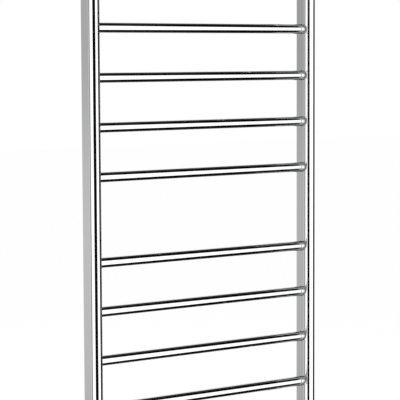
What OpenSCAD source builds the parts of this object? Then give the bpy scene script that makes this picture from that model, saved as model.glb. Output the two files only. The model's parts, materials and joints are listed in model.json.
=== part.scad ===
// Electric ladder towel warmer: two D-section uprights, two groups of cross bars, a heating cable
// threaded through the bars, a lit push switch and four wall brackets. Millimetres.
// +X runs to the right across the rail, +Y points into the wall, +Z is up.
// The origin is the centre of the four wall holes, on the face that meets the wall.

/* [Rail] */
// Overall width across the two uprights
rail_w = 600; // [420:1:800]
// Overall height of an upright with its end caps
rail_h = 1100; // [900:1:1600]
// Distance from the wall to the axis of the bars
bar_to_wall = 85; // [70:1:120]

/* [Uprights] */
// Width of an upright, which is also the diameter of its round front
upright_w = 25; // [20:0.5:34]
// Depth of an upright from its round front to its flat back
upright_d = 45; // [36:0.5:60]
// Wall thickness of an upright
upright_wall = 1.5; // [1:0.1:2.5]
// Corner radius along the back of an upright
back_r = 2; // [1:0.1:3]
// Distance from the axis of the bars to the back of the uprights
bar_to_back = 16.25; // [14:0.25:22]

/* [Bars] */
// Outer diameter of a bar
bar_d = 22; // [16:0.5:26]
// Wall thickness of a bar
bar_wall = 1.2; // [0.8:0.1:2]
// Number of bars above the wide middle gap
bars_upper = 5; // [3:1:7]
// Number of bars below the wide middle gap
bars_lower = 5; // [3:1:7]
// Distance between the axes of the two bars beside the middle gap
middle_gap = 180; // [120:1:260]
// Distance from the end of an upright to the axis of its end bar
end_margin = 44; // [36:1:70]
// Length of a bar's end inside the hollow upright
bar_stub = 2; // [1:0.5:3]

/* [End caps] */
// Thickness of a cap's outer plate
cap_t = 3; // [2:0.5:5]
// Chamfer round the outer plate
cap_edge = 0.8; // [0.3:0.1:1.5]
// Length of the plug that holds a cap in its upright
cap_plug = 8; // [5:0.5:14]
// Wall thickness of the plug
cap_plug_t = 1.6; // [1:0.1:2.5]

/* [Wall brackets] */
// Diameter of the wall plate
plate_d = 42; // [34:1:60]
// Thickness of the wall plate
plate_t = 3; // [2:0.5:5]
// Diameter of the spigot that the standoff slides over
spigot_d = 15; // [14:0.5:18]
// Length of the spigot from the wall
spigot_l = 26; // [18:1:34]
// Diameter of the hole for the wall screw
screw_hole_d = 5.5; // [4:0.1:6.5]
// Diameter of the recess for the wall screw's head
screw_head_d = 10.5; // [9:0.5:11]
// Thickness of metal under the wall screw's head
screw_floor = 8; // [5:0.5:12]
// Outer diameter of the standoff
standoff_d = 20; // [19:0.5:22]
// Thickness of the standoff's closed end
standoff_web = 5; // [4:0.5:8]
// Diameter of the cover rose
rose_d = 52; // [48:1:72]
// Height of the cover rose above the wall
rose_h = 9; // [7:0.5:14]
// Radius of the rose's shoulder
rose_r = 5; // [3:0.5:6]
// Sheet thickness of the rose
rose_t = 1.2; // [0.8:0.1:2]
// Distance from the wall to the grub screw
grub_from_wall = 16; // [14:0.5:18]

/* [Bracket fasteners] */
// Thread diameter of the standoff bolt
bolt_d = 6; // [5:1:6]
// Diameter of the bolt's head
bolt_head_d = 10; // [8:0.5:11]
// Height of the bolt's head
bolt_head_h = 6; // [4:0.5:7]
// Across flats of the bolt's hexagon socket
bolt_key = 5; // [4:0.5:5]
// Diameter of the washer under the bolt's head
washer_d = 12; // [11:0.5:13]
// Thickness of that washer
washer_t = 1.2; // [0.8:0.1:2]
// Diameter of the rivet nut's body
rivet_d = 9; // [8:0.5:10]
// Length of the rivet nut inside the upright
rivet_l = 10; // [8:0.5:11]
// Diameter of the rivet nut's flange
rivet_flange_d = 12.4; // [11:0.2:14]
// Thickness of the rivet nut's flange
rivet_flange_t = 1; // [0.6:0.1:1.5]
// Thread diameter of the grub screw
grub_d = 5; // [4:0.5:6]
// Across flats of the grub screw's hexagon socket
grub_key = 2.5; // [2:0.5:3]

/* [Heating cable] */
// Diameter of the heating cable
cable_d = 3.5; // [2.5:0.1:5]
// Bend radius where the cable turns between two bars
cable_bend = 14; // [10:0.5:16]
// Bend radius where the cable turns up to the terminal block
tail_bend = 7; // [6:0.5:8]
// Diameter of the sealed end of the cable
seal_d = 7; // [5:0.5:9]
// Length of the sealed end
seal_l = 18; // [12:1:30]
// Thickness of a spacer that centres the cable in a bar
spacer_t = 4; // [2:0.5:8]
// Number of spacers in each bar
spacers = 3; // [2:1:5]

/* [Switch] */
// Height of the switch above the lowest bar
switch_rise = 46; // [40:1:60]
// Diameter of the hole in the upright for the switch
switch_d = 16; // [14:0.5:19]
// Diameter of the switch's bezel
bezel_d = 21; // [19:0.5:24]
// Height of the bezel above its gasket
bezel_h = 2.2; // [1.5:0.1:4]
// Chamfer round the bezel
bezel_edge = 0.7; // [0.3:0.1:1.2]
// Thickness of the gasket under the bezel
gasket_t = 0.8; // [0.5:0.1:1.5]
// Depth of the switch body inside the outer face of the upright
switch_l = 12; // [10:0.5:14]
// Thickness of the switch body's floor
switch_floor = 3; // [2:0.5:4]
// Diameter of the button
button_d = 12.5; // [10:0.5:12.5]
// Travel of the button, which stands this far above the bezel at rest
button_travel = 2; // [1:0.1:3]
// Running clearance round the button
button_gap = 0.06; // [0.03:0.01:0.1]
// Width of the collar that keeps the button in the body
collar_w = 0.8; // [0.6:0.1:1]
// Height of that collar
collar_h = 1.6; // [1:0.1:2]
// Diameter of the indicator lens in the button
lens_d = 5; // [3:0.5:7]
// Depth of the indicator lens
lens_t = 1.2; // [0.8:0.1:2]
// Across flats of the switch's nut
nut_key = 20; // [18:0.5:24]
// Thickness of the switch's nut
nut_t = 3; // [2:0.5:4]
// Mean diameter of the return spring
spring_d = 8; // [6:0.5:9]
// Wire diameter of the return spring
wire_d = 0.7; // [0.5:0.1:1]
// Number of turns of the return spring
spring_turns = 5; // [3:1:6]
// Length of the contact blades behind the body
blade_l = 4; // [3:0.5:5]

/* [Terminals] */
// Depth of the terminal block from front to back
block_d = 16; // [12:0.5:18]
// Height of the terminal block
block_h = 14; // [10:0.5:20]
// Clearance from the middle of the switch to the terminal block
block_rise = 16; // [14:0.5:24]
// Distance between the ways of the terminal block
way_pitch = 5.5; // [4.5:0.1:6]
// Diameter of a way through the block
way_d = 3.7; // [3.6:0.1:4.4]
// Diameter of a clamping screw in the block
clamp_d = 3; // [2.5:0.1:3.5]
// Thickness of the silicone pads behind the block and the cut-out
pad_t = 1; // [0.5:0.1:2]
// Width of the thermal cut-out
cutout_w = 10; // [8:0.5:14]
// Thickness of the thermal cut-out
cutout_t = 5; // [3:0.5:6]
// Height of the thermal cut-out
cutout_h = 14; // [10:0.5:22]
// Height of the thermal cut-out above the terminal block
cutout_rise = 20; // [16:1:30]
// Diameter of the inner leads
lead_d = 1.6; // [1.2:0.1:2.2]
// Distance between the two leads of the cut-out
lead_pitch = 5; // [4:0.5:6]

/* [Cord entry] */
// Thread diameter of the gland
gland_d = 12; // [10:0.5:12]
// Across flats of the gland's nuts
gland_key = 15; // [14:0.5:17]
// Thickness of the gland's lock nut
gland_nut_t = 4; // [3:0.5:5]
// Thickness of the gland's hexagon flange
gland_flange = 3; // [2:0.5:5]
// Height of the gland's clamping cap
gland_cap_h = 12; // [9:0.5:18]
// Diameter of the supply cord that the gland takes
cord_d = 7; // [6:0.1:7]
// Distance of the gland ahead of the axis of the bars
gland_ahead = 9; // [8:0.5:11]
// Thread diameter of the earth screw
earth_d = 4; // [3:0.5:4]
// Diameter of the earth tag's ring
tag_d = 8; // [7:0.5:8]
// Thickness of the earth tag
tag_t = 0.8; // [0.5:0.1:1.2]
// Distance of the earth screw behind the axis of the bars
earth_behind = 7.5; // [6:0.5:9]

/* [Hidden] */
$fn = 64;
eps = 1;                       // how far a cut runs past the face it opens
hole_play = 0.4;               // how much wider a hole is than what passes through it
chrome = [0.86, 0.87, 0.89];
zinc = [0.66, 0.67, 0.68];
black = [0.09, 0.09, 0.1];
rubber = [0.16, 0.16, 0.17];
brass = [0.82, 0.66, 0.33];
silicone = [0.62, 0.2, 0.14];
ceramic = [0.9, 0.88, 0.82];

// Uprights
up_x = (rail_w - upright_w) / 2;
bar_y = -bar_to_wall;
back_y = bar_y + bar_to_back;
round_y = back_y - upright_d + upright_w / 2;
tube_h = rail_h - 2 * cap_t;
inner_half = upright_w / 2 - upright_wall;
inner_back_y = back_y - upright_wall;
face_x = rail_w / 2;

// Bars, counted from the top
bar_n = bars_upper + bars_lower;
bar_pitch = (rail_h - 2 * end_margin - middle_gap) / (bar_n - 2);
function bar_z(i) = rail_h / 2 - end_margin
    - (i < bars_upper ? i * bar_pitch : (i - 1) * bar_pitch + middle_gap);
bar_inner_d = bar_d - 2 * bar_wall;
bar_l = 2 * (up_x - inner_half + bar_stub);
low_z = bar_z(bar_n - 1);

// Heating cable: it enters the lowest bar from the right and climbs to the top bar
link_x = up_x + inner_half - cable_d - cable_bend;
tail_x = up_x - tail_bend;
tail_y = bar_y - 2 * tail_bend;
seal_side = bar_n % 2 == 0 ? 1 : -1;
seal_x = up_x - inner_half - seal_l;

// Brackets
bracket_z = rail_h / 2 - end_margin;
CORNERS = ["top_left", "top_right", "bottom_left", "bottom_right"];

// Switch, measured outwards from the outer face of the right upright
switch_z = low_z + switch_rise;
bezel_x = gasket_t + bezel_h;
lip_x = 0;                     // underside of the lip that stops the button's collar
cavity_d = button_d + 2 * collar_w + 2 * button_gap;
collar_gap = 0.05;
button_edge = 0.6;
seat_x = lip_x - collar_gap - collar_h;
blade_x = -switch_l - blade_l;
blade_off = 3;                 // from the switch's axis to the middle of a blade
blade_w = 2.8;
blade_t = 0.8;

// Terminals
way_front = 5;                 // from the front of the block to the middle of its ways
block_gap = 3;                 // room beside the block for the leads
block_front = tail_y - way_front;
nose_half = sqrt(pow(inner_half, 2) - pow(max(0, round_y - block_front), 2));
block_reach = min(inner_half - pad_t, nose_half - 0.3);    // its right face, from the upright's middle
block_w = block_reach + inner_half - block_gap;
block_x = up_x + block_reach - block_w / 2;
block_y = block_front + block_d / 2;
block_z = switch_z + block_rise;
cutout_z = block_z + block_h + cutout_rise;
cutout_y = inner_back_y - pad_t - cutout_t / 2;
way_in = 4;                    // how far a lead reaches into a way
screw_slot = 0.6;

// Cord entry
low_end = -rail_h / 2;
floor_z = low_end + cap_t;
gland_y = bar_y - gland_ahead;
earth_y = bar_y + earth_behind;
gland_floor = 3;               // thickness of the clamping cap's floor
gland_low = low_end - gland_flange - gland_cap_h;
seal_wall = 1.5;
tag_x = up_x + tag_d / 2 + 1.5;
tag_h = 7;                     // height of the earth tag's barrel

BARS = [for (i = [1:bar_n]) str("bar_", i < 10 ? "0" : "", i)];

// ---- helpers ----

function side_of(corner) = (corner == "top_left" || corner == "bottom_left") ? -1 : 1;
function end_of(corner) = (corner == "top_left" || corner == "top_right") ? 1 : -1;

// A cylinder along Y between two values of Y
module rod_y(d, from, to) {
    translate([0, from, 0]) rotate([-90, 0, 0]) cylinder(d = d, h = to - from);
}

// A cylinder along X between two values of X
module rod_x(d, from, to) {
    translate([from, 0, 0]) rotate([0, 90, 0]) cylinder(d = d, h = to - from);
}

// A hexagonal bar along Z, sized across its flats
module hexagon(key, h) {
    cylinder(d = key / cos(30), h = h, $fn = 6);
}

// The D section of an upright, drawn in plan at its true Y, and shrunk by inset
module d_section(inset = 0) {
    r = upright_w / 2 - inset;
    corner = max(back_r - inset, 0.5);
    back = back_y - inset;
    translate([0, round_y]) circle(r = r);
    translate([-r, round_y]) square([2 * r, back - corner - round_y]);
    translate([corner - r, round_y]) square([2 * (r - corner), back - round_y]);
    for (s = [-1, 1]) translate([s * (r - corner), back - corner]) circle(r = corner);
}

// Places children at a bracket: the wall face is at Y = 0
module at_bracket(corner) {
    translate([side_of(corner) * up_x, 0, end_of(corner) * bracket_z]) children();
}

// Places children on the switch's axis: X = 0 is the outer face of the right upright
module at_switch() {
    translate([face_x, bar_y, switch_z]) children();
}

function unit(v) = v / norm(v);
function tangent(p, i) = unit(p[min(i + 1, len(p) - 1)] - p[max(i - 1, 0)]);
function square_to(t) = unit(abs(t.z) < 0.9 ? cross(t, [0, 0, 1]) : cross(t, [1, 0, 0]));
function normals(p, i = 0, last = [0, 0, 0]) = i == len(p) ? [] :
    let (t = tangent(p, i), n = i == 0 ? square_to(t) : unit(last - (last * t) * t))
    concat([n], normals(p, i + 1, n));

// A round tube swept along a path of points
module tube_along(path, d, sides = 8) {
    n = normals(path);
    rings = [for (i = [0:len(path) - 1]) for (k = [0:sides - 1])
        let (b = cross(tangent(path, i), n[i]), a = 360 * k / sides)
        path[i] + d / 2 * (cos(a) * n[i] + sin(a) * b)];
    walls = [for (i = [0:len(path) - 2]) for (k = [0:sides - 1])
        let (a = i * sides + k, b = i * sides + (k + 1) % sides)
        [a, b, b + sides, a + sides]];
    first = [for (k = [sides - 1:-1:0]) k];
    last = [for (k = [0:sides - 1]) (len(path) - 1) * sides + k];
    polyhedron(rings, concat([first, last], walls), convexity = 4);
}

// Points on a smooth curve through a short list of points
function spline_at(p, i, t) =
    let (a = p[max(i - 1, 0)], b = p[i], c = p[i + 1], d = p[min(i + 2, len(p) - 1)])
    0.5 * (2 * b + (c - a) * t + (2 * a - 5 * b + 4 * c - d) * t * t
        + (3 * b - a - 3 * c + d) * t * t * t);
function smooth(p, steps = 5) = concat(
    [for (i = [0:len(p) - 2]) for (s = [0:steps - 1]) spline_at(p, i, s / steps)],
    [p[len(p) - 1]]);

// ---- frame ----

module upright(side) {
    color(chrome) translate([side * up_x, 0, 0]) difference() {
        translate([0, 0, -tube_h / 2]) linear_extrude(tube_h) difference() {
            d_section();
            d_section(upright_wall);
        }
        for (i = [0:bar_n - 1])
            translate([-side * (upright_w - upright_wall) / 2, bar_y, bar_z(i)])
                rod_x(bar_d, -upright_wall / 2 - eps, upright_wall / 2 + eps);
        for (e = [-1, 1])
            translate([0, 0, e * bracket_z]) rod_y(rivet_d, inner_back_y - eps, back_y + eps);
        if (side > 0)
            translate([upright_w / 2, bar_y, switch_z]) rod_x(switch_d, -upright_wall - eps, eps);
    }
}

module bar(i) {
    color(chrome) translate([0, bar_y, bar_z(i)]) difference() {
        rod_x(bar_d, -bar_l / 2, bar_l / 2);
        rod_x(bar_inner_d, -bar_l / 2 - eps, bar_l / 2 + eps);
    }
}

// The outer plate of a cap, chamfered, from the end of the tube outwards
module cap_plate() {
    hull() {
        linear_extrude(cap_t - cap_edge) d_section($fn = 48);
        linear_extrude(cap_t) d_section(cap_edge, $fn = 48);
    }
}

module end_cap(corner) {
    side = side_of(corner);
    up = end_of(corner) > 0;
    color(chrome) translate([side * up_x, 0, 0]) mirror([0, 0, up ? 0 : 1]) difference() {
        union() {
            translate([0, 0, tube_h / 2]) cap_plate();
            translate([0, 0, tube_h / 2 - cap_plug]) linear_extrude(cap_plug) difference() {
                d_section(upright_wall);
                d_section(upright_wall + cap_plug_t);
            }
        }
        if (corner == "bottom_right") {
            translate([0, gland_y, tube_h / 2 - eps]) cylinder(d = gland_d, h = cap_t + 2 * eps);
            translate([0, earth_y, tube_h / 2 - eps]) cylinder(d = earth_d, h = cap_t - 1 + eps);
        }
    }
}

// ---- wall brackets ----

module wall_plate(corner) {
    color(zinc) at_bracket(corner) difference() {
        union() {
            rod_y(plate_d, -plate_t, 0);
            rod_y(spigot_d, -spigot_l, -plate_t);
        }
        rod_y(screw_hole_d, -spigot_l, eps);
        rod_y(screw_head_d, -spigot_l - eps, -screw_floor);
    }
}

module standoff(corner) {
    color(chrome) at_bracket(corner) difference() {
        rod_y(standoff_d, back_y, -plate_t);
        rod_y(spigot_d, back_y + standoff_web, eps);
        rod_y(bolt_d + hole_play, back_y - eps, back_y + standoff_web + eps);
        rod_y(rivet_flange_d, back_y - eps, back_y + rivet_flange_t);
        translate([0, -grub_from_wall, -standoff_d / 2 - eps]) cylinder(d = grub_d, h = standoff_d / 2);
    }
}

// A pressed rose: a flat ring, a round shoulder and a short skirt down to the wall
module rose(corner) {
    shoulder = rose_d / 2 - rose_r;
    color(chrome) at_bracket(corner) rotate([90, 0, 0]) rotate_extrude() difference() {
        union() {
            translate([standoff_d / 2, 0]) square([shoulder - standoff_d / 2, rose_h]);
            translate([standoff_d / 2, 0]) square([rose_d / 2 - standoff_d / 2, rose_h - rose_r]);
            translate([shoulder, rose_h - rose_r]) circle(r = rose_r);
        }
        translate([0, -eps]) square([shoulder, rose_h - rose_t + eps]);
        translate([0, -eps]) square([rose_d / 2 - rose_t, rose_h - rose_r + eps]);
        translate([shoulder, rose_h - rose_r]) circle(r = rose_r - rose_t);
    }
}

module rivet_nuts() {
    color(zinc) for (c = CORNERS) at_bracket(c) difference() {
        union() {
            rod_y(rivet_d, back_y - rivet_l, back_y);
            rod_y(rivet_flange_d, back_y, back_y + rivet_flange_t);
        }
        rod_y(bolt_d, back_y - rivet_l - eps, back_y + rivet_flange_t + eps);
    }
}

module bolt_washers() {
    color(zinc) for (c = CORNERS) at_bracket(c) difference() {
        rod_y(washer_d, back_y + standoff_web, back_y + standoff_web + washer_t);
        rod_y(bolt_d + hole_play, back_y, back_y + standoff_web + washer_t + eps);
    }
}

module standoff_bolts() {
    head_y = back_y + standoff_web + washer_t;
    color(zinc) for (c = CORNERS) at_bracket(c) difference() {
        union() {
            rod_y(bolt_d, back_y - rivet_l + 1, head_y);
            rod_y(bolt_head_d, head_y, head_y + bolt_head_h);
        }
        translate([0, head_y + bolt_head_h / 2, 0]) rotate([-90, 0, 0]) hexagon(bolt_key, bolt_head_h);
    }
}

module grub_screws() {
    length = (standoff_d - spigot_d) / 2;
    color(zinc) for (c = CORNERS) at_bracket(c)
        translate([0, -grub_from_wall, -standoff_d / 2]) grub_screw(length);
}

// Its tip is hollowed to the spigot, so that it bears on the spigot's round side
module grub_screw(length) {
    difference() {
        cylinder(d = grub_d, h = length + 1);
        translate([0, 0, standoff_d / 2]) rod_y(spigot_d, -grub_d, grub_d);
        translate([0, 0, -eps]) hexagon(grub_key, length / 2 + eps);
    }
}

// ---- heating cable ----

// A quarter bend from the direction +X to the direction +Z, ending above its start
module bend_up() {
    translate([0, 0, cable_bend]) rotate([90, 0, 0]) rotate([0, 0, -90])
        rotate_extrude(angle = 90) translate([cable_bend, 0]) circle(d = cable_d, $fn = 24);
}

// The cable's turn from bar i to the bar above it
module cable_link(i) {
    side = (bar_n - 1 - i) % 2 == 0 ? -1 : 1;
    rise = bar_z(i - 1) - bar_z(i);
    translate([0, bar_y, bar_z(i)]) mirror([side < 0 ? 1 : 0, 0, 0]) translate([link_x, 0, 0]) {
        bend_up();
        translate([cable_bend, 0, cable_bend]) cylinder(d = cable_d, h = rise - 2 * cable_bend, $fn = 24);
        translate([0, 0, rise]) mirror([0, 0, 1]) bend_up();
    }
}

module cable_run(i) {
    left = i == 0 && seal_side < 0 ? -seal_x : -link_x;
    right = i == 0 && seal_side > 0 ? seal_x : i == bar_n - 1 ? tail_x : link_x;
    translate([0, bar_y, bar_z(i)]) rod_x(cable_d, left, right, $fn = 24);
}

// From the lowest bar the cable turns forward, then up to the terminal block
module cable_tail() {
    translate([tail_x, bar_y - tail_bend, low_z]) rotate_extrude(angle = 90)
        translate([tail_bend, 0]) circle(d = cable_d, $fn = 24);
    translate([up_x, bar_y - tail_bend, low_z + tail_bend])
        rotate([0, 0, -90]) rotate([90, 0, 0]) rotate([0, 0, -90])
            rotate_extrude(angle = 90) translate([tail_bend, 0]) circle(d = cable_d, $fn = 24);
    translate([up_x, tail_y, low_z + tail_bend])
        cylinder(d = cable_d, h = block_z + way_in - low_z - tail_bend, $fn = 24);
}

module heating_cable() {
    color(silicone) union() {
        for (i = [0:bar_n - 1]) cable_run(i);
        for (i = [1:bar_n - 1]) cable_link(i);
        cable_tail();
    }
}

module cable_end_seal() {
    color(black) translate([0, bar_y, bar_z(0)]) mirror([seal_side < 0 ? 1 : 0, 0, 0])
        rod_x(seal_d, seal_x, seal_x + seal_l);
}

module cable_spacers() {
    span = bar_l - 2 * (seal_l + bar_stub + upright_wall) - 2 * spacer_t;
    color(ceramic) for (i = [0:bar_n - 1]) for (k = [0:spacers - 1])
        translate([(k / (spacers - 1) - 0.5) * span - spacer_t / 2, bar_y, bar_z(i)]) difference() {
            rod_x(bar_inner_d, 0, spacer_t);
            rod_x(cable_d, -eps, spacer_t + eps, $fn = 24);
        }
}

// ---- switch ----

module switch_body() {
    color(chrome) at_switch() difference() {
        union() {
            rod_x(switch_d, -switch_l, gasket_t);
            rod_x(bezel_d, gasket_t, bezel_x - bezel_edge);
            translate([bezel_x - bezel_edge, 0, 0]) rotate([0, 90, 0])
                cylinder(d1 = bezel_d, d2 = bezel_d - 2 * bezel_edge, h = bezel_edge);
        }
        rod_x(button_d + 2 * button_gap, lip_x - eps, bezel_x + eps);
        rod_x(cavity_d, switch_floor - switch_l, lip_x);
    }
}

module switch_gasket() {
    color(rubber) at_switch() difference() {
        rod_x(bezel_d - 1, 0, gasket_t);
        rod_x(switch_d, -eps, gasket_t + eps);
    }
}

module switch_nut() {
    color(zinc) at_switch() translate([-upright_wall - nut_t, 0, 0]) difference() {
        rotate([0, 90, 0]) hexagon(nut_key, nut_t);
        rod_x(switch_d, -eps, nut_t + eps);
    }
}

module switch_button() {
    top = bezel_x + button_travel;
    color(chrome) at_switch() difference() {
        union() {
            rod_x(button_d + 2 * collar_w, seat_x, lip_x - collar_gap);
            rod_x(button_d, seat_x, top - button_edge);
            translate([top - button_edge, 0, 0]) rotate([0, 90, 0])
                cylinder(d1 = button_d, d2 = button_d - 2 * button_edge, h = button_edge);
        }
        rod_x(lens_d, top - lens_t, top + eps);
    }
}

module indicator_lens() {
    top = bezel_x + button_travel;
    color("skyblue") at_switch() rod_x(lens_d, top - lens_t, top);
}

// A compression spring between the body's floor and the button's seat
module switch_spring() {
    low = switch_floor - switch_l + wire_d / 2;
    high = seat_x - wire_d / 2;
    steps = 14 * spring_turns;
    turn = [for (k = [0:steps]) let (a = 360 * spring_turns * k / steps)
        [low + (high - low) * k / steps, spring_d / 2 * cos(a), spring_d / 2 * sin(a)]];
    color(zinc) at_switch() tube_along(turn, wire_d, 6);
}

module switch_contacts() {
    color(brass) at_switch() for (s = [-1, 1])
        translate([blade_x, s * blade_off - blade_t / 2, -blade_w / 2]) cube([blade_l, blade_t, blade_w]);
}

// ---- terminals and leads ----

module terminal_block() {
    color(ceramic) translate([block_x, block_y, block_z]) difference() {
        translate([-block_w / 2, -block_d / 2, 0]) cube([block_w, block_d, block_h]);
        for (k = [-1:1]) {
            translate([up_x - block_x + k * way_pitch, tail_y - block_y, -eps])
                cylinder(d = way_d, h = block_h + 2 * eps);
            translate([up_x - block_x + k * way_pitch, 0, block_h / 2])
                rod_y(clamp_d, tail_y - block_y, block_d / 2 + eps);
        }
    }
}

module terminal_screws() {
    head_y = block_front + block_d - 1;
    color(brass) translate([up_x, 0, block_z + block_h / 2])
        for (k = [-1:1]) translate([k * way_pitch, 0, 0]) difference() {
            rod_y(clamp_d, tail_y + way_d / 2, head_y);
            translate([-clamp_d, head_y - 1, -screw_slot / 2]) cube([2 * clamp_d, 2, screw_slot]);
        }
}

module block_pad() {
    front = max(round_y, block_front);
    color(rubber) translate([up_x + block_reach, front, block_z])
        cube([inner_half - block_reach, block_front + block_d - front, block_h]);
}

module thermal_cutout() {
    color(black) translate([up_x, cutout_y, cutout_z]) difference() {
        translate([-cutout_w / 2, -cutout_t / 2, 0]) cube([cutout_w, cutout_t, cutout_h]);
        for (s = [-1, 1]) translate([s * lead_pitch / 2, 0, -eps])
            cylinder(d = lead_d + hole_play, h = 2 + eps);
    }
}

module cutout_pad() {
    color(rubber) translate([up_x - cutout_w / 2, inner_back_y - pad_t, cutout_z])
        cube([cutout_w, pad_t, cutout_h]);
}

// Offsets in a route are hand-set clearances round the switch body and the bars' ends
module inner_leads() {
    way_l = up_x - way_pitch;
    way_r = up_x + way_pitch;
    top = block_z + block_h;
    blade = face_x + blade_x;
    behind = cutout_y;
    to_cutout = [
        [way_l, tail_y, top - way_in], [way_l, tail_y, top + 3],
        [way_l + 1, tail_y + 7, top + 9], [up_x - lead_pitch / 2, behind - 3, top + 13],
        [up_x - lead_pitch / 2, behind, cutout_z - 3], [up_x - lead_pitch / 2, behind, cutout_z + 1.5]];
    to_switch = [
        [up_x + lead_pitch / 2, behind, cutout_z + 1.5], [up_x + lead_pitch / 2, behind, cutout_z - 5],
        [up_x + 1, behind, block_z + 2], [blade - 2, behind - 1, switch_z + 8],
        [blade - 4.6, behind - 5, switch_z + 2], [blade - 3, bar_y + blade_off, switch_z],
        [blade - 1, bar_y + blade_off, switch_z], [blade, bar_y + blade_off, switch_z]];
    from_switch = [
        [blade, bar_y - blade_off, switch_z], [blade - 1, bar_y - blade_off, switch_z],
        [blade - 3, bar_y - 3.2, switch_z], [blade - 4, bar_y - 6, switch_z + 3],
        [way_l - 1, tail_y + 2, block_z - 6], [way_l, tail_y, block_z - 2],
        [way_l, tail_y, block_z + way_in]];
    to_earth = [
        [way_r, tail_y, block_z + way_in], [way_r, tail_y, block_z - 6],
        [way_r + 1, tail_y - 1, switch_z], [way_r + 1, tail_y - 1, low_z],
        [way_r + 1, tail_y + 2, floor_z + 24], [tag_x + 0.5, bar_y - 2, floor_z + 17],
        [tag_x, earth_y, floor_z + 11], [tag_x, earth_y, floor_z + tag_h + 1],
        [tag_x, earth_y, floor_z + tag_h]];
    color("dimgray") {
        tube_along(smooth(to_cutout), lead_d);
        tube_along(smooth(to_switch), lead_d);
        tube_along(smooth(from_switch), lead_d);
    }
    color("olivedrab") tube_along(smooth(to_earth), lead_d);
}

// A ring under the earth screw, with an upright barrel crimped on the earth lead
module earth_tag() {
    color(zinc) translate([up_x, earth_y, floor_z]) difference() {
        union() {
            cylinder(d = tag_d, h = tag_t);
            translate([0, -1.5, 0]) cube([tag_x - up_x, 3, tag_t]);
            translate([tag_x - up_x, 0, 0]) cylinder(d = lead_d + 1.6, h = tag_h);
        }
        translate([0, 0, -eps]) cylinder(d = earth_d, h = tag_t + 2 * eps);
    }
}

module earth_screw() {
    head_h = 2.4;
    tip = 1.2;                 // depth of cap left below the screw's end
    cross_l = 4;
    cross_w = 1;
    color(zinc) translate([up_x, earth_y, floor_z + tag_t]) difference() {
        union() {
            translate([0, 0, tip - tag_t - cap_t]) cylinder(d = earth_d, h = tag_t + cap_t - tip);
            cylinder(d = tag_d - 1.2, h = head_h);
        }
        for (a = [0, 90]) rotate([0, 0, a])
            translate([-cross_l / 2, -cross_w / 2, head_h / 2]) cube([cross_l, cross_w, head_h]);
    }
}

// ---- cord entry ----

module at_gland() {
    translate([up_x, gland_y, low_end]) children();
}

module gland_body() {
    neck = gland_cap_h - gland_floor - 1;
    color(black) at_gland() difference() {
        union() {
            translate([0, 0, -gland_flange - neck])
                cylinder(d = gland_d, h = neck + gland_flange + cap_t + gland_nut_t + 1);
            translate([0, 0, -gland_flange]) hexagon(gland_key, gland_flange);
        }
        translate([0, 0, -gland_flange - gland_cap_h])
            cylinder(d = cord_d + 2 * seal_wall, h = 2 * gland_cap_h + gland_flange + cap_t + gland_nut_t);
    }
}

module gland_lock_nut() {
    color(zinc) at_gland() translate([0, 0, cap_t]) difference() {
        hexagon(gland_key, gland_nut_t);
        translate([0, 0, -eps]) cylinder(d = gland_d, h = gland_nut_t + 2 * eps);
    }
}

module gland_seal() {
    color(rubber) translate([up_x, gland_y, gland_low + gland_floor]) difference() {
        cylinder(d = cord_d + 2 * seal_wall, h = low_end - gland_low - gland_floor);
        translate([0, 0, -eps]) cylinder(d = cord_d, h = low_end - gland_low - gland_floor + 2 * eps);
    }
}

module gland_cap() {
    color(black) translate([up_x, gland_y, gland_low]) difference() {
        intersection() {
            hexagon(gland_key, gland_cap_h);
            cylinder(d1 = gland_key - 1, d2 = gland_key - 1 + 4 * gland_cap_h, h = gland_cap_h);
        }
        translate([0, 0, -eps]) cylinder(d = cord_d + 1, h = gland_floor + 2 * eps);
        translate([0, 0, gland_floor]) cylinder(d = gland_d, h = gland_cap_h);
    }
}

// ---- nodes ----

upright(-1);  // upright_left
upright(1);  // upright_right
for (i = [0:bar_n - 1]) bar(i);
for (c = CORNERS) end_cap(c);
for (c = CORNERS) wall_plate(c);
for (c = CORNERS) standoff(c);
for (c = CORNERS) rose(c);
rivet_nuts();
standoff_bolts();
bolt_washers();
grub_screws();
heating_cable();
cable_end_seal();
cable_spacers();
switch_body();
switch_gasket();
switch_nut();
switch_button();
indicator_lens();
switch_spring();
switch_contacts();
terminal_block();
terminal_screws();
block_pad();
thermal_cutout();
cutout_pad();
inner_leads();
earth_tag();
earth_screw();
gland_body();
gland_lock_nut();
gland_seal();
gland_cap();
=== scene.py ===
import json
import math

import bmesh
import bpy
from mathutils import Matrix, Vector


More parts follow.
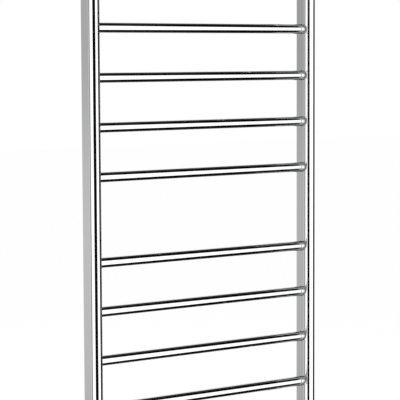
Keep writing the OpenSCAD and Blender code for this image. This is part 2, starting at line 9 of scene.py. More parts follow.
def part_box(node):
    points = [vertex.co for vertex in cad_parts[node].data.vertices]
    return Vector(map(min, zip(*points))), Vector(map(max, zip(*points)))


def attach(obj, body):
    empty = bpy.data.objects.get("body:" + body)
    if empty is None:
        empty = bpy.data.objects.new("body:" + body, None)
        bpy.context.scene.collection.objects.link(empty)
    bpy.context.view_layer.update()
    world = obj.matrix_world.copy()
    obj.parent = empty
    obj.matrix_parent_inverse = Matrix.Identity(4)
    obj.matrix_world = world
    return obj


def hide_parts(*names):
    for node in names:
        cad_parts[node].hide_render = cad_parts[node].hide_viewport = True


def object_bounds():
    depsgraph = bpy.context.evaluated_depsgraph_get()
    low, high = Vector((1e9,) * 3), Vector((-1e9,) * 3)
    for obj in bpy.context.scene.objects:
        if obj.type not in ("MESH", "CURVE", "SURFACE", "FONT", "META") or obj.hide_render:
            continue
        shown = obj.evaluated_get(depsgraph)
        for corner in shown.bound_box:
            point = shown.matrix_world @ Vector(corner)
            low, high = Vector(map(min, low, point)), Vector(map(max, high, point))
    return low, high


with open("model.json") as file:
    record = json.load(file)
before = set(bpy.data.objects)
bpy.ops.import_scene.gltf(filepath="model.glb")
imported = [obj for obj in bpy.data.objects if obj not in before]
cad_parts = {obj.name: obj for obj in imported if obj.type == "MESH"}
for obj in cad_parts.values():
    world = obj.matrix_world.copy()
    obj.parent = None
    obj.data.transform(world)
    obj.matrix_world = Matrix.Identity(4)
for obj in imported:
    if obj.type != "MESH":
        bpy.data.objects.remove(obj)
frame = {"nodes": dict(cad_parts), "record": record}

# Looks for the ladder towel warmer. Metres, +X to the right, +Y into the wall, +Z up.
cadLow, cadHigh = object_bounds()
mm = 0.001
seam = 0.0001 * mm        # vertices nearer than this are one
corners = ["top_left", "top_right", "bottom_left", "bottom_right"]
xAxis, yAxis, zAxis = Vector((1, 0, 0)), Vector((0, 1, 0)), Vector((0, 0, 1))


def camel(node):
    first, *rest = node.split("_")
    return first + "".join(word.capitalize() for word in rest)


def boxOf(name):
    low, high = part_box(name)
    return low, high, (low + high) / 2, high - low


class Sock:
    # one output of a node, so that masks can be written as sums and products

    def __init__(self, tree, out):
        self.tree = tree
        self.out = out

    def node(self, kind, settings=None, sockets=None, out=0):
        made = self.tree.nodes.new("ShaderNode" + kind)
        for key, value in (settings or {}).items():
            if key == "stops":
                setStops(made.color_ramp, value)
            else:
                setattr(made, key, value)
        for key, value in (sockets or {}).items():
            if isinstance(value, Sock):
                self.tree.links.new(value.out, made.inputs[key])
            else:
                made.inputs[key].default_value = value
        return Sock(self.tree, made.outputs[out])

    def maths(self, operation, first, second=0.0):
        return self.node("Math", {"operation": operation}, {0: first, 1: second})

    def magnitude(self):
        return self.maths("ABSOLUTE", self)

    def __add__(self, other):
        return self.maths("ADD", self, other)

    def __radd__(self, other):
        return self.maths("ADD", other, self)

    def __sub__(self, other):
        return self.maths("SUBTRACT", self, other)

    def __rsub__(self, other):
        return self.maths("SUBTRACT", other, self)

    def __mul__(self, other):
        return self.maths("MULTIPLY", self, other)

    def __rmul__(self, other):
        return self.maths("MULTIPLY", other, self)

    def ramp(self, low, high, start=0.0, end=1.0, smooth=True):
        kind = "SMOOTHSTEP" if smooth else "LINEAR"
        sockets = {"Value": self, "From Min": low, "From Max": high, "To Min": start, "To Max": end}
        return self.node("MapRange", {"interpolation_type": kind, "clamp": True}, sockets)

    def between(self, near, far, out, end):
        # rises from 0 to 1 over near to far and falls again over out to end
        return self.ramp(near, far) * (1.0 - self.ramp(out, end))

    def mixColour(self, first, second):
        settings = {"data_type": "RGBA", "blend_type": "MIX"}
        return self.node("Mix", settings, {"Factor": self, 6: first, 7: second}, 2)


def setStops(colourRamp, stops):
    while len(colourRamp.elements) > 1:
        colourRamp.elements.remove(colourRamp.elements[-1])
    colourRamp.elements[0].position, colourRamp.elements[0].color = stops[0]
    for place, shade in stops[1:]:
        colourRamp.elements.new(place).color = shade


def colour(r, g, b):
    return (r, g, b, 1.0)


def grey(level):
    return colour(level, level, level)


def vertsOf(geom):
    return [item for item in geom if isinstance(item, bmesh.types.BMVert)]


def connect(tree, shader, kind):
    output = tree.nodes.new("ShaderNodeOutput" + kind)
    tree.links.new(shader.out, output.inputs["Surface"])


def addObject(name, bm):
    mesh = bpy.data.meshes.new(name)
    bm.to_mesh(mesh)
    bm.free()
    made = bpy.data.objects.new(name, mesh)
    bpy.context.scene.collection.objects.link(made)
    return made


cameraSetup = {
    "place": (-2.2192, -3.1475, 0.3439),
    "yaw": 35.83,       # degrees to the right of +Y
    "dip": 4.76,        # degrees below the horizon
    "roll": -0.25,
    "lens": 156.3,
    "sensor": 36.0,
}


def makeCamera(setup):
    data = bpy.data.cameras.new("mainCamera")
    data.lens = setup["lens"]
    data.sensor_width = setup["sensor"]
    camera = bpy.data.objects.new("mainCamera", data)
    turn = Matrix.Rotation(math.radians(-setup["yaw"]), 4, "Z")
    tilt = Matrix.Rotation(math.radians(90 - setup["dip"]), 4, "X")
    roll = Matrix.Rotation(math.radians(setup["roll"]), 4, "Z")
    camera.matrix_world = Matrix.Translation(setup["place"]) @ turn @ tilt @ roll
    bpy.context.scene.collection.objects.link(camera)
    bpy.context.scene.camera = camera


# The studio is a white tent with darkness above, below and in one slot. Bearings are degrees from the
# front of the rack, positive to the right. Heights are degrees above the horizon.
studio = {
    "white": 1.22,
    "levels": [               # brightness by bearing, as a share of white
        (-180, 0.5), (-163, 0.46), (-148, 0.44), (-142, 0.38), (-140, 0.36), (-138.8, 0.85),
        (-135.5, 0.85), (-134.5, 0.2), (-118, 0.2), (-115, 1.0), (40, 1.0), (46, 0.5),
        (108, 0.5), (116, 1.0), (148, 1.0), (156, 0.56), (180, 0.5),
    ],
    "wall": (-168.0, -164.0, -140.0, -138.0),       # the grey wall behind on the left
    "wallLow": (-15.0, -6.0, 0.85, 1.0),            # it is dimmer low down
    "wallHigh": (-6.0, 1.0, 1.0, 0.76),             # and high up
    "bars": (26.0, 34.0, 146.0, 152.0),             # the bearings that the bars mirror
    "fade": (11.5, 27.0, 1.0, 0.42),                # elsewhere the light falls off above and below
    "roof": (41.5, 43.5),                           # the dark above starts here at the front
    "roofBehind": (21.0, 47.0),                     # and here behind
    "behind": (85.0, 110.0),
    "pit": (40.0, 42.0),                            # the dark below
    "sill": (40.0, 44.0, 106.0, 110.0),             # between these bearings both darks come nearer
    "sillHeights": (24.0, 28.0),
    "slot": (39.0, 41.5, 126.0, 130.0),             # the low dark slot on the right
    "slotHeights": (-20.0, -11.5, 3.0, 12.0),
    "patch": (110.0, 120.0, 148.0, 152.0),          # a grey patch beyond it, near the horizon
    "patchHeights": (20.0, 26.0, 0.5, 1.0),
    "dark": 0.004,
    "second": 0.1,            # what is left of the light from the right in a reflection of a reflection
    "secondFrom": (-0.05, 0.05),
    "ambient": 0.95,
}


def mirroredTwice(start):
    return start.node("LightPath", None, None, "Glossy Depth").ramp(1.2, 1.8)


def makeStudio(setup):
    world = bpy.data.worlds.new("studio")
    bpy.context.scene.world = world
    world.use_nodes = True
    tree = world.node_tree
    tree.nodes.clear()
    start = Sock(tree, None)
    direction = start.node("TexCoord")
    x, y, z = [start.node("SeparateXYZ", None, {0: direction}, i) for i in range(3)]
    degrees = 180 / math.pi
    bearing = start.maths("ARCTAN2", x, 0.0 - y) * degrees
    height = start.maths("ARCSINE", z) * degrees
    tilt = height.magnitude()
    stops = [((turn + 180) / 360, grey(level)) for turn, level in setup["levels"]]
    share = bearing.ramp(-180.0, 180.0, smooth=False)
    around = start.node("ValToRGB", {"stops": stops}, {"Fac": share})
    wall = bearing.between(*setup["wall"])
    dimming = height.ramp(*setup["wallLow"]) * height.ramp(*setup["wallHigh"])
    around = around * (1.0 - wall + wall * dimming) * setup["white"]
    kept = bearing.between(*setup["bars"])
    around = around * (kept + (1.0 - kept) * tilt.ramp(*setup["fade"]))
    patch = bearing.between(*setup["patch"])
    around = around * (1.0 - patch + patch * tilt.ramp(*setup["patchHeights"]))
    behind = bearing.magnitude().ramp(*setup["behind"])
    roof = height.ramp(*setup["roof"]) * (1.0 - behind) + height.ramp(*setup["roofBehind"]) * behind
    pit = (0.0 - height).ramp(*setup["pit"])
    lit = 1.0 - start.maths("MINIMUM", roof + pit, 1.0)
    level = around * lit + (1.0 - lit) * setup["dark"]
    slot = bearing.between(*setup["slot"]) * height.between(*setup["slotHeights"])
    sill = bearing.between(*setup["sill"]) * tilt.ramp(*setup["sillHeights"])
    level = level * (slot + sill).ramp(0.0, 1.0, 1.0, setup["dark"])
    second = mirroredTwice(start) * x.ramp(*setup["secondFrom"])
    level = level * second.ramp(0.0, 1.0, 1.0, setup["second"])
    mirror = start.node("LightPath", None, None, "Is Glossy Ray")
    strength = mirror * level + (1.0 - mirror) * setup["ambient"]
    seen = start.node("LightPath", None, None, "Is Camera Ray")
    strength = seen + (1.0 - seen) * strength
    surface = start.node("Background", None, {"Color": grey(1.0), "Strength": strength})
    connect(tree, surface, "World")


floorSetup = {"below": 0.22, "size": 30.0, "glow": 0.93, "tone": 0.9}


def stageMaterial(stageObject, name):
    material = bpy.data.materials.new(name)
    material.use_nodes = True
    material.node_tree.nodes.clear()
    stageObject.data.materials.append(material)
    return Sock(material.node_tree, None)


def makeFloor(setup):
    bm = bmesh.new()
    bmesh.ops.create_grid(bm, x_segments=1, y_segments=1, size=setup["size"] / 2)
    bmesh.ops.translate(bm, vec=(0, 0, cadLow.z - setup["below"]), verts=bm.verts)
    floor = addObject("floor", bm)
    start = stageMaterial(floor, "paleFloor")
    lit = start.node("BsdfDiffuse", None, {"Color": grey(setup["tone"])})
    glow = start.node("Emission", None, {"Color": grey(1.0), "Strength": 1.0})
    both = start.node("MixShader", None, {0: setup["glow"], 1: lit, 2: glow})
    connect(start.tree, both, "Material")
    floor.visible_glossy = False      # polished metal mirrors the dark below the tent instead


# A black card on a stand left of the rack, which draws the dark line down each upright. It is paler
# in a reflection of a reflection, so that it doesn't blacken the joints.
cardSetup = {
    "near": (-0.586, -0.187),
    "far": (-0.542, -0.797),
    "halfHeight": 3.0,
    "black": 0.004,
    "again": 0.2,
}


def makeCard(setup):
    bm = bmesh.new()
    ends = [bm.verts.new((*setup[end], -setup["halfHeight"])) for end in ("near", "far")]
    raised = bmesh.ops.extrude_edge_only(bm, edges=[bm.edges.new(ends)])["geom"]
    bmesh.ops.translate(bm, vec=(0, 0, 2 * setup["halfHeight"]), verts=vertsOf(raised))
    card = addObject("blackCard", bm)
    start = stageMaterial(card, "blackCloth")
    cloth = start.node("BsdfDiffuse", None, {"Color": grey(setup["black"])})
    pale = start.node("Emission", None, {"Color": grey(1.0), "Strength": setup["again"]})
    both = start.node("MixShader", None, {0: mirroredTwice(start), 1: cloth, 2: pale})
    connect(start.tree, both, "Material")
    for kind in ("camera", "diffuse", "transmission", "volume_scatter", "shadow"):
        setattr(card, "visible_" + kind, False)


# place, size in metres and power in watts of each soft lamp, aimed at the middle of the rack
lamps = {
    "softLeft": ((-2.2, -2.4, 2.0), 1.6, 28),
    "softRight": ((2.4, -1.6, 1.2), 1.2, 14),
    "softBack": ((0.6, 2.6, 1.8), 1.6, 16),
}


def makeLamp(name, place, size, power):
    data = bpy.data.lights.new(name, "AREA")
    data.size = size
    data.energy = power
    lamp = bpy.data.objects.new(name, data)
    lamp.location = place
    lamp.rotation_euler = (-Vector(place)).to_track_quat("-Z", "Y").to_euler()
    lamp.visible_glossy = False
    bpy.context.scene.collection.objects.link(lamp)


makeCamera(cameraSetup)
makeStudio(studio)
makeFloor(floorSetup)
makeCard(cardSetup)
for name, lamp in lamps.items():
    makeLamp(name, *lamp)
bpy.context.scene.view_settings.view_transform = "Standard"
print("stage: camera, studio light and floor made")


def newMaterial(name):
    material = bpy.data.materials.new(name)
    material.use_nodes = True
    tree = material.node_tree
    shader = tree.nodes["Principled BSDF"]
    start = Sock(tree, None)
    place = start.node("TexCoord", None, None, "Object")
    return material, shader, start, place


def feed(material, shader, sockets):
    for key, value in sockets.items():
        if isinstance(value, Sock):
            material.node_tree.links.new(value.out, shader.inputs[key])
        else:
            shader.inputs[key].default_value = value


def noise(place, scale, detail=2.0, stretch=(1, 1, 1), rough=0.5):
    where = place.node("Mapping", None, {"Vector": place, "Scale": stretch})
    sockets = {"Vector": where, "Scale": scale, "Detail": detail, "Roughness": rough}
    return place.node("TexNoise", None, sockets, "Fac")


def bump(start, height, strength, distance):
    sockets = {"Height": height, "Strength": strength, "Distance": distance}
    return start.node("Bump", None, sockets)


chromeLook = {
    "base": (0.95, 0.955, 0.965),
    "worn": (0.90, 0.905, 0.915),
    "roughness": (0.018, 0.042),
    "grain": 420.0,           # polishing marks
    "stretch": 0.02,
    "smudge": 0.03,           # roughness that a smudge adds
    "smudges": 9.0,
    "waves": 30.0,            # slow unevenness of the plating
    "waveDepth": 0.006 * mm,
}


def chrome(name, along):
    # along is the direction of the polishing marks, which run round a bar and up an upright
    material, shader, start, place = newMaterial(name)
    stretch = tuple(chromeLook["stretch"] if axis == along else 1.0 for axis in "xyz")
    marks = noise(place, chromeLook["grain"], 3.0, stretch, 0.6)
    smudge = noise(place, chromeLook["smudges"], 3.0).ramp(0.58, 0.78)
    low, high = chromeLook["roughness"]
    roughness = marks.ramp(0.35, 0.75, low, high) + smudge * chromeLook["smudge"]
    base = smudge.mixColour(colour(*chromeLook["base"]), colour(*chromeLook["worn"]))
    wave = noise(place, chromeLook["waves"], 1.0)
    sockets = {"Base Color": base, "Roughness": roughness, "Metallic": 1.0}
    sockets["Normal"] = bump(start, wave, 0.25, chromeLook["waveDepth"])
    feed(material, shader, sockets)
    return material


def plated(name, tint, roughness, grain):
    # dull plated steel with a fine crystal grain and darker, rubbed patches
    material, shader, start, place = newMaterial(name)
    crystals = place.node("TexVoronoi", None, {"Vector": place, "Scale": grain}, "Distance")
    patches = noise(place, 60.0, 3.0).ramp(0.4, 0.7)
    shaded = tuple(0.72 * part for part in tint)
    base = patches.mixColour(colour(*tint), colour(*shaded))
    sockets = {"Base Color": base, "Metallic": 1.0}
    sockets["Roughness"] = crystals.ramp(0.0, 0.9, roughness - 0.07, roughness + 0.1)
    sockets["Normal"] = bump(start, crystals, 0.15, 0.1 * mm)
    feed(material, shader, sockets)
    return material


def moulded(name, tint, roughness, texture, depth, coat=0.0):
    # plastic, rubber or silicone with a fine moulded texture
    material, shader, start, place = newMaterial(name)
    fine = noise(place, texture, 3.0)
    cloud = noise(place, texture / 30, 2.0).ramp(0.3, 0.75)
    lighter = tuple(min(1.0, 1.25 * part + 0.008) for part in tint)
    base = cloud.mixColour(colour(*tint), colour(*lighter))
    sockets = {"Base Color": base, "Coat Weight": coat}
    sockets["Roughness"] = fine.ramp(0.3, 0.7, roughness - 0.06, roughness + 0.08)
    sockets["Normal"] = bump(start, fine, 0.5, depth)
    feed(material, shader, sockets)
    return material


def braided(name, tint, along):
    # a woven glass sleeve, from two sets of crossing ridges, with painted shade in the hollows between
    # them
    material, shader, start, place = newMaterial(name)
    ridges = []
    for turn in (0.6, -0.6):
        where = place.node("Mapping", None, {"Vector": place, "Rotation": (turn, turn, turn)})
        settings = {"bands_direction": along}
        ridges.append(place.node("TexWave", settings, {"Vector": where, "Scale": 420.0}, "Fac"))
    weave = ridges[0] * ridges[1]
    # painted shade: the low parts of the weave are coloured darker, as if shaded between the strands
    base = weave.mixColour(colour(*[0.55 * part for part in tint]), colour(*tint))
    sockets = {"Base Color": base, "Roughness": weave.ramp(0.0, 1.0, 0.75, 0.55)}
    sockets["Normal"] = bump(start, weave, 0.6, 0.1 * mm)
    feed(material, shader, sockets)
    return material


def litLens(name, tint):
    # a frosted lens with a lamp behind it
    material, shader, start, place = newMaterial(name)
    frost = noise(place, 900.0, 2.0)
    glow = frost.mixColour(colour(*tint), colour(*[min(1.0, 1.4 * part) for part in tint]))
    sockets = {"Base Color": glow, "Roughness": frost.ramp(0.3, 0.7, 0.12, 0.2), "Coat Weight": 0.5}
    sockets["Emission Color"] = glow
    sockets["Emission Strength"] = 0.6
    feed(material, shader, sockets)
    return material


# one finish for each material slot of the record, and two more for the direction of the polish
finishes = {
    "chrome": chrome("chromeUpright", "z"),
    "chromeBar": chrome("chromeBar", "x"),
    "chromeTurned": chrome("chromeTurned", "none"),
    "satin_chrome": plated("satinChrome", (0.80, 0.81, 0.83), 0.2, 2600.0),
    "zinc_plate": plated("zincPlate", (0.66, 0.67, 0.69), 0.34, 900.0),
    "dark_steel": plated("blackOxide", (0.06, 0.06, 0.065), 0.42, 1500.0),
    "spring_steel": plated("springWire", (0.52, 0.53, 0.55), 0.26, 2200.0),
    "brass": plated("brassBar", (0.80, 0.60, 0.28), 0.24, 1400.0),
    "silicone_red": moulded("redSilicone", (0.42, 0.07, 0.04), 0.5, 700.0, 0.04 * mm),
    "silicone_white": moulded("whiteSilicone", (0.78, 0.78, 0.75), 0.55, 700.0, 0.04 * mm),
    "black_rubber": moulded("blackRubber", (0.03, 0.03, 0.033), 0.62, 900.0, 0.05 * mm),
    "black_plastic": moulded("blackPlastic", (0.035, 0.035, 0.038), 0.4, 1400.0, 0.03 * mm),
    "lead_grey": braided("glassSleeve", (0.42, 0.42, 0.43), "DIAGONAL"),
    "porcelain": moulded("porcelain", (0.82, 0.79, 0.72), 0.45, 500.0, 0.03 * mm, 0.1),
    "lens_blue": litLens("blueLens", (0.22, 0.50, 0.85)),
}
slots = {part["node"]: part["material_slot"] for part in frame["record"]["subparts"]}
for name, part in frame["nodes"].items():
    part.data.materials.clear()
    part.data.materials.append(finishes[slots[name]])
print("materials:", len(finishes), "finishes")


def finishPiece(name, bm, finish, body, node, sharp=32.0, cutters=()):
    # every new piece ends here: closed, cut, smoothed, given its finish and put in its node's place
    bmesh.ops.remove_doubles(bm, verts=bm.verts, dist=seam)
    bmesh.ops.recalc_face_normals(bm, faces=bm.faces)
    piece = addObject(name, bm)
    if cutters:
        cutWith(piece, cutters)
    mesh = piece.data
    for face in mesh.polygons:
        face.use_smooth = True
    mesh.set_sharp_from_angle(angle=math.radians(sharp))
    mesh.materials.append(finishes[finish])
    evened = piece.modifiers.new("evenNormals", "WEIGHTED_NORMAL")
    evened.keep_sharp = True
    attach(piece, body)
    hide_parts(node)


def cutWith(piece, cutters):
    made = []
    for bm in cutters:
        bmesh.ops.recalc_face_normals(bm, faces=bm.faces)
        cutter = addObject("cutter", bm)
        made.append(cutter)
        cut = piece.modifiers.new("cut", "BOOLEAN")
        cut.operation = "DIFFERENCE"
        cut.solver = "EXACT"
        cut.object = cutter
    graph = bpy.context.evaluated_depsgraph_get()
    shaped = bpy.data.meshes.new_from_object(piece.evaluated_get(graph))
    piece.modifiers.clear()
    plain, piece.data = piece.data, shaped
    shaped.name = piece.name
    bm = bmesh.new()      # merges the slivers that the cuts leave
    bm.from_mesh(shaped)
    bmesh.ops.remove_doubles(bm, verts=bm.verts, dist=0.002 * mm)
    bmesh.ops.dissolve_degenerate(bm, edges=bm.edges, dist=0.001 * mm)
    bm.to_mesh(shaped)
    bm.free()
    bpy.data.meshes.remove(plain)
    for cutter in made:
        bpy.data.objects.remove(cutter)


def wire(bm, points, closed):
    verts = [bm.verts.new(point) for point in points]
    for pair in zip(verts, verts[1:]):
        bm.edges.new(pair)
    if closed:
        bm.edges.new((verts[-1], verts[0]))
    return verts


def roundCorners(bm, verts, radius, segments):
    settings = dict(offset=radius, offset_type="OFFSET", segments=segments, profile=0.5)
    bmesh.ops.bevel(bm, geom=verts, affect="VERTICES", material=-1, **settings)


def turned(centre, axis, side, profile, steps, closed=True):
    # spins a profile whose rows are radius, distance along the axis and corner radius
    bm = bmesh.new()
    points = [centre + side * r + axis * along for r, along, corner in profile]
    verts = wire(bm, points, closed)
    for vert, (r, along, corner) in zip(verts, profile):
        if corner:
            roundCorners(bm, [vert], corner, 6)
    spin = dict(cent=centre, axis=axis, angle=2 * math.pi, steps=steps, use_merge=True)
    bmesh.ops.spin(bm, geom=bm.verts[:] + bm.edges[:], use_duplicate=False, **spin)
    bmesh.ops.remove_doubles(bm, verts=bm.verts, dist=seam)
    return bm


def rod(centre, axis, side, radius, start, end, steps=64):
    # a closed cylinder for cutting holes
    profile = [(0, start, 0), (radius, start, 0), (radius, end, 0), (0, end, 0)]
    return turned(centre, axis, side, profile, steps, closed=False)


uprightShape = {
    "nose": 17.25 * mm,       # depth of the oval front
    "noseSteps": 96,
    "backRadius": 2.0 * mm,
    "leastRadius": 0.5 * mm,
    "backSteps": 6,
    "wall": 1.5 * mm,
    "lip": 0.3 * mm,          # countersink round each bar's hole
    "holeSteps": 96,
    "reach": 3.0 * mm,        # how far a cutter goes each way through the wall
    "switchRadius": 8.0 * mm,
}


def outline(bm, low, high, z, shape, inset=0.0):
    # the section in plan: an oval front, flat sides and small corners along the back
    middle = (low.x + high.x) / 2
    radius = (high.x - low.x) / 2 - inset
    noseY = low.y + shape["nose"]
    backY = high.y - inset
    leftEnd = bm.verts.new((middle - radius, noseY, z))
    spin = dict(cent=(middle, noseY, z), axis=zAxis, angle=math.pi, steps=shape["noseSteps"])
    rightEnd = vertsOf(bmesh.ops.spin(bm, geom=[leftEnd], **spin)["geom_last"])[0]
    stretch = Matrix.Diagonal((1, (shape["nose"] - inset) / radius, 1))
    toNose = Matrix.Translation((0, -noseY, 0))
    bmesh.ops.transform(bm, matrix=stretch.to_4x4(), space=toNose, verts=bm.verts)
    backs = [bm.verts.new((middle + side * radius, backY, z)) for side in (1, -1)]
    for pair in ((rightEnd, backs[0]), backs, (backs[1], leftEnd)):
        bm.edges.new(pair)
    roundCorners(bm, backs, max(shape["backRadius"] - inset, shape["leastRadius"]), shape["backSteps"])


def walls(bm, height, thickness):
    # raises every edge into a wall of the given thickness, measured inwards
    raised = bmesh.ops.extrude_edge_only(bm, edges=bm.edges[:])["geom"]
    bmesh.ops.translate(bm, vec=(0, 0, height), verts=vertsOf(raised))
    bmesh.ops.recalc_face_normals(bm, faces=bm.faces)
    bmesh.ops.solidify(bm, geom=bm.faces[:], thickness=thickness)


def barHole(centre, radius, side, shape):
    # a straight hole with a small countersink that opens towards the middle of the rack
    reach = shape["reach"]
    profile = [
        (0, -reach, 0),
        (radius, -reach, 0),
        (radius, -shape["lip"], 0),
        (radius + shape["lip"], 0, 0),
        (radius + shape["lip"], reach, 0),
        (0, reach, 0),
    ]
    return turned(centre, -side * xAxis, zAxis, profile, shape["holeSteps"], closed=False)


def makeUpright(node, side, shape):
    low, high, centre, size = boxOf(node)
    bm = bmesh.new()
    outline(bm, low, high, low.z, shape)
    walls(bm, size.z, shape["wall"])
    cutters = []
    for bar in bars:
        barCentre, barSize = boxOf(bar)[2:]
        spot = Vector((centre.x - side * size.x / 2, barCentre.y, barCentre.z))
        cutters.append(barHole(spot, barSize.z / 2, side, shape))
    if side > 0:
        switch = boxOf("switch_body")[2]
        spot = Vector((high.x, switch.y, switch.z))
        reach = shape["reach"]
        cutters.append(rod(spot, xAxis, zAxis, shape["switchRadius"], -reach, reach))
    finishPiece(camel(node), bm, "chrome", "rail", node, cutters=cutters)


bars = sorted(name for name in frame["nodes"] if name.startswith("bar_"))
makeUpright("upright_left", -1, uprightShape)
makeUpright("upright_right", 1, uprightShape)
print("uprights: two tubes with", len(bars), "holes each")


barShape = {
    "steps": 128,
    "wall": 1.2 * mm,
    "edge": 0.2 * mm,
    "fillet": 0.9 * mm,       # the polished solder round each joint
    "filletSteps": 6,
    "neck": 0.01 * mm,        # step from the solder back to the tube, inside the hole
}


def makeBar(node, shape):
    centre, size = boxOf(node)[2:]
    outer = size.z / 2
    half = size.x / 2
    inner = outer - shape["wall"]
    face = boxOf("upright_right")[0].x
    fillet = shape["fillet"]
    steps = shape["filletSteps"]
    flare = []
    for step in range(steps + 1):
        turn = math.pi / 2 * step / steps
        out, along = fillet * (1 - math.cos(turn)), fillet * (1 - math.sin(turn))
        flare.append((outer + out, face - along, 0))
    neck = (outer, face + shape["neck"], 0)
    ends = flare + [neck, (outer, half, shape["edge"]), (inner, half, 0)]
    profile = [(r, -along, corner) for r, along, corner in reversed(ends)] + ends
    bm = turned(centre, xAxis, zAxis, profile, shape["steps"])
    finishPiece(node.replace("bar_", "tube"), bm, "chromeBar", "rail", node, sharp=50.0)


for name in bars:
    makeBar(name, barShape)
print("bars:", len(bars))


capShape = {
    "plate": 3.0 * mm,
    "edge": 0.8 * mm,
    "plugWall": 2.0 * mm,
    "glandHole": 6.0 * mm,
    "earthHole": 2.0 * mm,
    "earthDepth": 2.0 * mm,
    "clear": 1.0 * mm,        # how far a cutter stands out of the metal
}


def makeCap(corner, shape):
    node = "end_cap_" + corner
    low, high, centre, size = boxOf(node)
    top = corner.startswith("top")
    seat = high.z - shape["plate"] if top else low.z + shape["plate"]
    outward = 1 if top else -1
    bm = bmesh.new()
    outline(bm, low, high, seat, uprightShape)
    plate = bmesh.ops.contextual_create(bm, geom=bm.edges[:])["faces"]
    raised = bmesh.ops.extrude_face_region(bm, geom=plate)["geom"]
    bmesh.ops.translate(bm, vec=(0, 0, outward * shape["plate"]), verts=vertsOf(raised))
    half = shape["plate"] / 2
    rim = [edge for edge in bm.edges if all(abs(v.co.z - seat) > half for v in edge.verts)]
    settings = dict(offset=shape["edge"], offset_type="OFFSET", segments=4, profile=0.5)
    bmesh.ops.bevel(bm, geom=rim, affect="EDGES", material=-1, **settings)
    plug = bmesh.new()
    outline(plug, low, high, seat, uprightShape, uprightShape["wall"])
    walls(plug, -outward * (size.z - shape["plate"]), shape["plugWall"])
    spare = bpy.data.meshes.new("plug")
    plug.to_mesh(spare)
    plug.free()
    bm.from_mesh(spare)
    bpy.data.meshes.remove(spare)
    cutters = []
    if corner == "bottom_right":
        gland = boxOf("gland_body")[2]
        earth = boxOf("earth_screw")[2]
        clear = shape["clear"]
        hole = Vector((gland.x, gland.y, low.z))
        cutters.append(rod(hole, zAxis, xAxis, shape["glandHole"], -clear, shape["plate"] + clear))
        pocket = Vector((earth.x, earth.y, seat))
        cutters.append(rod(pocket, zAxis, xAxis, shape["earthHole"], -shape["earthDepth"], clear))
    finishPiece(camel("cap_" + corner), bm, "chrome", "rail", node, cutters=cutters)


for corner in corners:
    makeCap(corner, capShape)
print("end caps: 4")


bracketShape = {
    "steps": 96,
    "standoffRadius": 10.0 * mm,
    "standoffBore": 7.5 * mm,
    "web": 5.0 * mm,
    "webBore": 3.2 * mm,
    "flangeRadius": 5.0 * mm,
    "flangeDepth": 1.0 * mm,
    "edge": 0.5 * mm,
    "grubRadius": 2.5 * mm,
    "grubReach": (4.0 * mm, 12.0 * mm),
    "grubSteps": 32,
    "roseShoulder": 5.0 * mm,
    "roseSheet": 1.2 * mm,
    "roseLip": 0.4 * mm,
}


def makeStandoff(corner, shape):
    node = "standoff_" + corner
    low, high, centre, size = boxOf(node)
    start = Vector((centre.x, low.y, centre.z))
    radius = size.x / 2
    profile = [
        (shape["webBore"], shape["flangeDepth"], 0),
        (shape["flangeRadius"], shape["flangeDepth"], 0),
        (shape["flangeRadius"], 0, 0),
        (radius, 0, shape["edge"]),
        (radius, size.y, shape["edge"]),
        (shape["standoffBore"], size.y, 0),
        (shape["standoffBore"], shape["web"], 0),
        (shape["webBore"], shape["web"], 0),
    ]
    bm = turned(start, yAxis, xAxis, profile, shape["steps"])
    grub = boxOf("grub_screws")[2]
    spot = Vector((centre.x, grub.y, centre.z))
    near, far = shape["grubReach"]
    drill = rod(spot, -zAxis, xAxis, shape["grubRadius"], near, far, shape["grubSteps"])
    finishPiece(camel(node), bm, "chromeTurned", "rail", node, cutters=[drill])


def makeRose(corner, shape):
    node = "rose_" + corner
    low, high, centre, size = boxOf(node)
    wall = Vector((centre.x, high.y, centre.z))
    radius = size.x / 2
    sheet = shape["roseSheet"]
    shoulder = shape["roseShoulder"]
    profile = [
        (shape["standoffRadius"], size.y, shape["roseLip"]),
        (radius, size.y, shoulder),
        (radius, 0, 0),
        (radius - sheet, 0, 0),
        (radius - sheet, size.y - sheet, shoulder - sheet),
        (shape["standoffRadius"], size.y - sheet, 0),
    ]
    bm = turned(wall, -yAxis, xAxis, profile, shape["steps"])
    finishPiece(camel(node), bm, "chromeTurned", "rail", node)


for corner in corners:
    makeStandoff(corner, bracketShape)
    makeRose(corner, bracketShape)
print("wall brackets: 4 standoffs and 4 roses")


# distances along the switch are measured outwards from the upright's flat side
switchShape = {
    "steps": 96,
    "bore": 6.31 * mm,
    "boreEdge": 0.25 * mm,
    "lip": 0.0,               # underside of the lip that stops the button's collar
    "gasket": 0.8 * mm,
    "bodyRadius": 8.0 * mm,
    "backEdge": 0.3 * mm,
    "cavityRadius": 7.11 * mm,
    "floor": 3.0 * mm,
    "bezelEdge": 0.7 * mm,
}
buttonShape = {
    "radius": 6.25 * mm,
    "edge": 0.5 * mm,
    "collarTop": -0.05 * mm,
    "collarEdge": 0.15 * mm,
    "recess": (3.4 * mm, 4.6 * mm, 2.05 * mm),    # takes the spring when the button is pressed
    "groove": (5.3 * mm, 4.9 * mm, 0.2 * mm),     # a turned ring round the lens
    "grooveEdge": 0.08 * mm,
    "lensRim": 0.15 * mm,
    "lensDepth": 1.2 * mm,
}
lensShape = {
    "dome": 0.25 * mm,
    "edge": 0.1 * mm,
    "shoulder": (0.62, 0.35, 0.4 * mm),           # shares of its radius and of its dome, and a radius
}


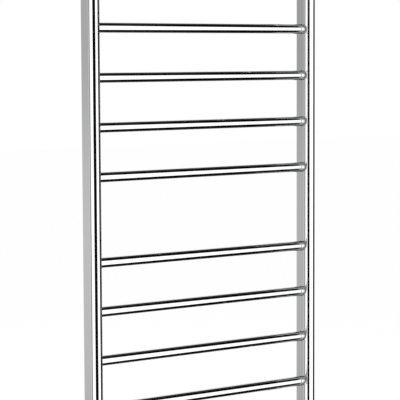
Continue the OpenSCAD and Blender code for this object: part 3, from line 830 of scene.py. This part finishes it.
def makeBezel(face, shape):
    low, high, centre, size = boxOf("switch_body")
    back = low.x - face.x
    front = high.x - face.x
    profile = [
        (0, back, 0),
        (shape["bodyRadius"], back, shape["backEdge"]),
        (shape["bodyRadius"], shape["gasket"], 0),
        (size.z / 2, shape["gasket"], 0),
        (size.z / 2, front, shape["bezelEdge"]),
        (shape["bore"], front, shape["boreEdge"]),
        (shape["bore"], shape["lip"], 0),
        (shape["cavityRadius"], shape["lip"], 0),
        (shape["cavityRadius"], back + shape["floor"], 0),
        (0, back + shape["floor"], 0),
    ]
    bm = turned(face, xAxis, zAxis, profile, switchShape["steps"], closed=False)
    finishPiece("switchBezel", bm, "satin_chrome", "rail", "switch_body")


def makeButton(face, shape):
    low, high, centre, size = boxOf("switch_button")
    top = high.x - face.x
    seat = low.x - face.x
    lens = boxOf("indicator_lens")[3].z / 2
    outer, inner, deep = shape["groove"]
    near, far, depth = shape["recess"]
    profile = [
        (0, seat, 0),
        (near, seat, 0),
        (near, seat + depth, 0),
        (far, seat + depth, 0),
        (far, seat, 0),
        (size.z / 2, seat, shape["collarEdge"]),
        (size.z / 2, shape["collarTop"], shape["collarEdge"]),
        (shape["radius"], shape["collarTop"], 0),
        (shape["radius"], top, shape["edge"]),
        (outer, top, 0),
        ((outer + inner) / 2, top - deep, shape["grooveEdge"]),
        (inner, top, 0),
        (lens, top, shape["lensRim"]),
        (lens, top - shape["lensDepth"], 0),
        (0, top - shape["lensDepth"], 0),
    ]
    bm = turned(face, xAxis, zAxis, profile, switchShape["steps"], closed=False)
    finishPiece("switchButton", bm, "satin_chrome", "button", "switch_button")


def makeLens(face, shape):
    size = boxOf("indicator_lens")[3]
    top = boxOf("switch_button")[1].x - face.x
    radius = size.z / 2
    bottom = top - buttonShape["lensDepth"]
    dome = shape["dome"]
    out, drop, rounding = shape["shoulder"]
    profile = [
        (0, bottom, 0),
        (radius, bottom, 0),
        (radius, top - dome, shape["edge"]),
        (out * radius, top - drop * dome, rounding),
        (0, top, 0),
    ]
    bm = turned(face, xAxis, zAxis, profile, switchShape["steps"], closed=False)
    finishPiece("switchLens", bm, "lens_blue", "button", "indicator_lens")


switchPlace = boxOf("switch_body")[2]
switchFace = Vector((boxOf("upright_right")[1].x, switchPlace.y, switchPlace.z))
makeBezel(switchFace, switchShape)
makeButton(switchFace, buttonShape)
makeLens(switchFace, lensShape)
print("switch: bezel, button and lens")


glandShape = {
    "edge": 0.5 * mm,
    "cordRadius": 4.0 * mm,
    "threadRadius": 6.0 * mm,
    "floor": 3.0 * mm,
    "taper": 1.2 * mm,        # how far the rounded lower end draws in
    "clear": 1.0 * mm,
}


def makeGlandCap(shape):
    # a hexagonal cap with a rounded lower end and a stepped hole for the cord
    low, high, centre, size = boxOf("gland_cap")
    radius = max(size.x, size.y) / 2
    depth = size.z
    bm = bmesh.new()
    circle = dict(segments=6, radius1=radius, radius2=radius)
    bmesh.ops.create_cone(bm, cap_ends=True, depth=depth, **circle)
    if size.y > size.x:
        turn = Matrix.Rotation(math.radians(30), 3, "Z")
        bmesh.ops.rotate(bm, cent=(0, 0, 0), matrix=turn, verts=bm.verts)
    lower = [edge for edge in bm.edges if all(v.co.z < 0 for v in edge.verts)]
    settings = dict(offset=shape["taper"], offset_type="OFFSET", segments=5, profile=0.5)
    bmesh.ops.bevel(bm, geom=lower, affect="EDGES", material=-1, **settings)
    sides = [edge for edge in bm.edges if abs(edge.verts[0].co.z - edge.verts[1].co.z) > 0.01 * mm]
    settings = dict(offset=shape["edge"], offset_type="OFFSET", segments=3, profile=0.5)
    bmesh.ops.bevel(bm, geom=sides, affect="EDGES", material=-1, **settings)
    bmesh.ops.translate(bm, vec=centre, verts=bm.verts)
    base = Vector((centre.x, centre.y, low.z))
    clear = shape["clear"]
    cutters = [
        rod(base, zAxis, xAxis, shape["cordRadius"], -clear, depth + clear),
        rod(base, zAxis, xAxis, shape["threadRadius"], shape["floor"], depth + clear),
    ]
    finishPiece("glandCap", bm, "black_plastic", "rail", "gland_cap", cutters=cutters)


makeGlandCap(glandShape)
print("cord entry: clamping cap")
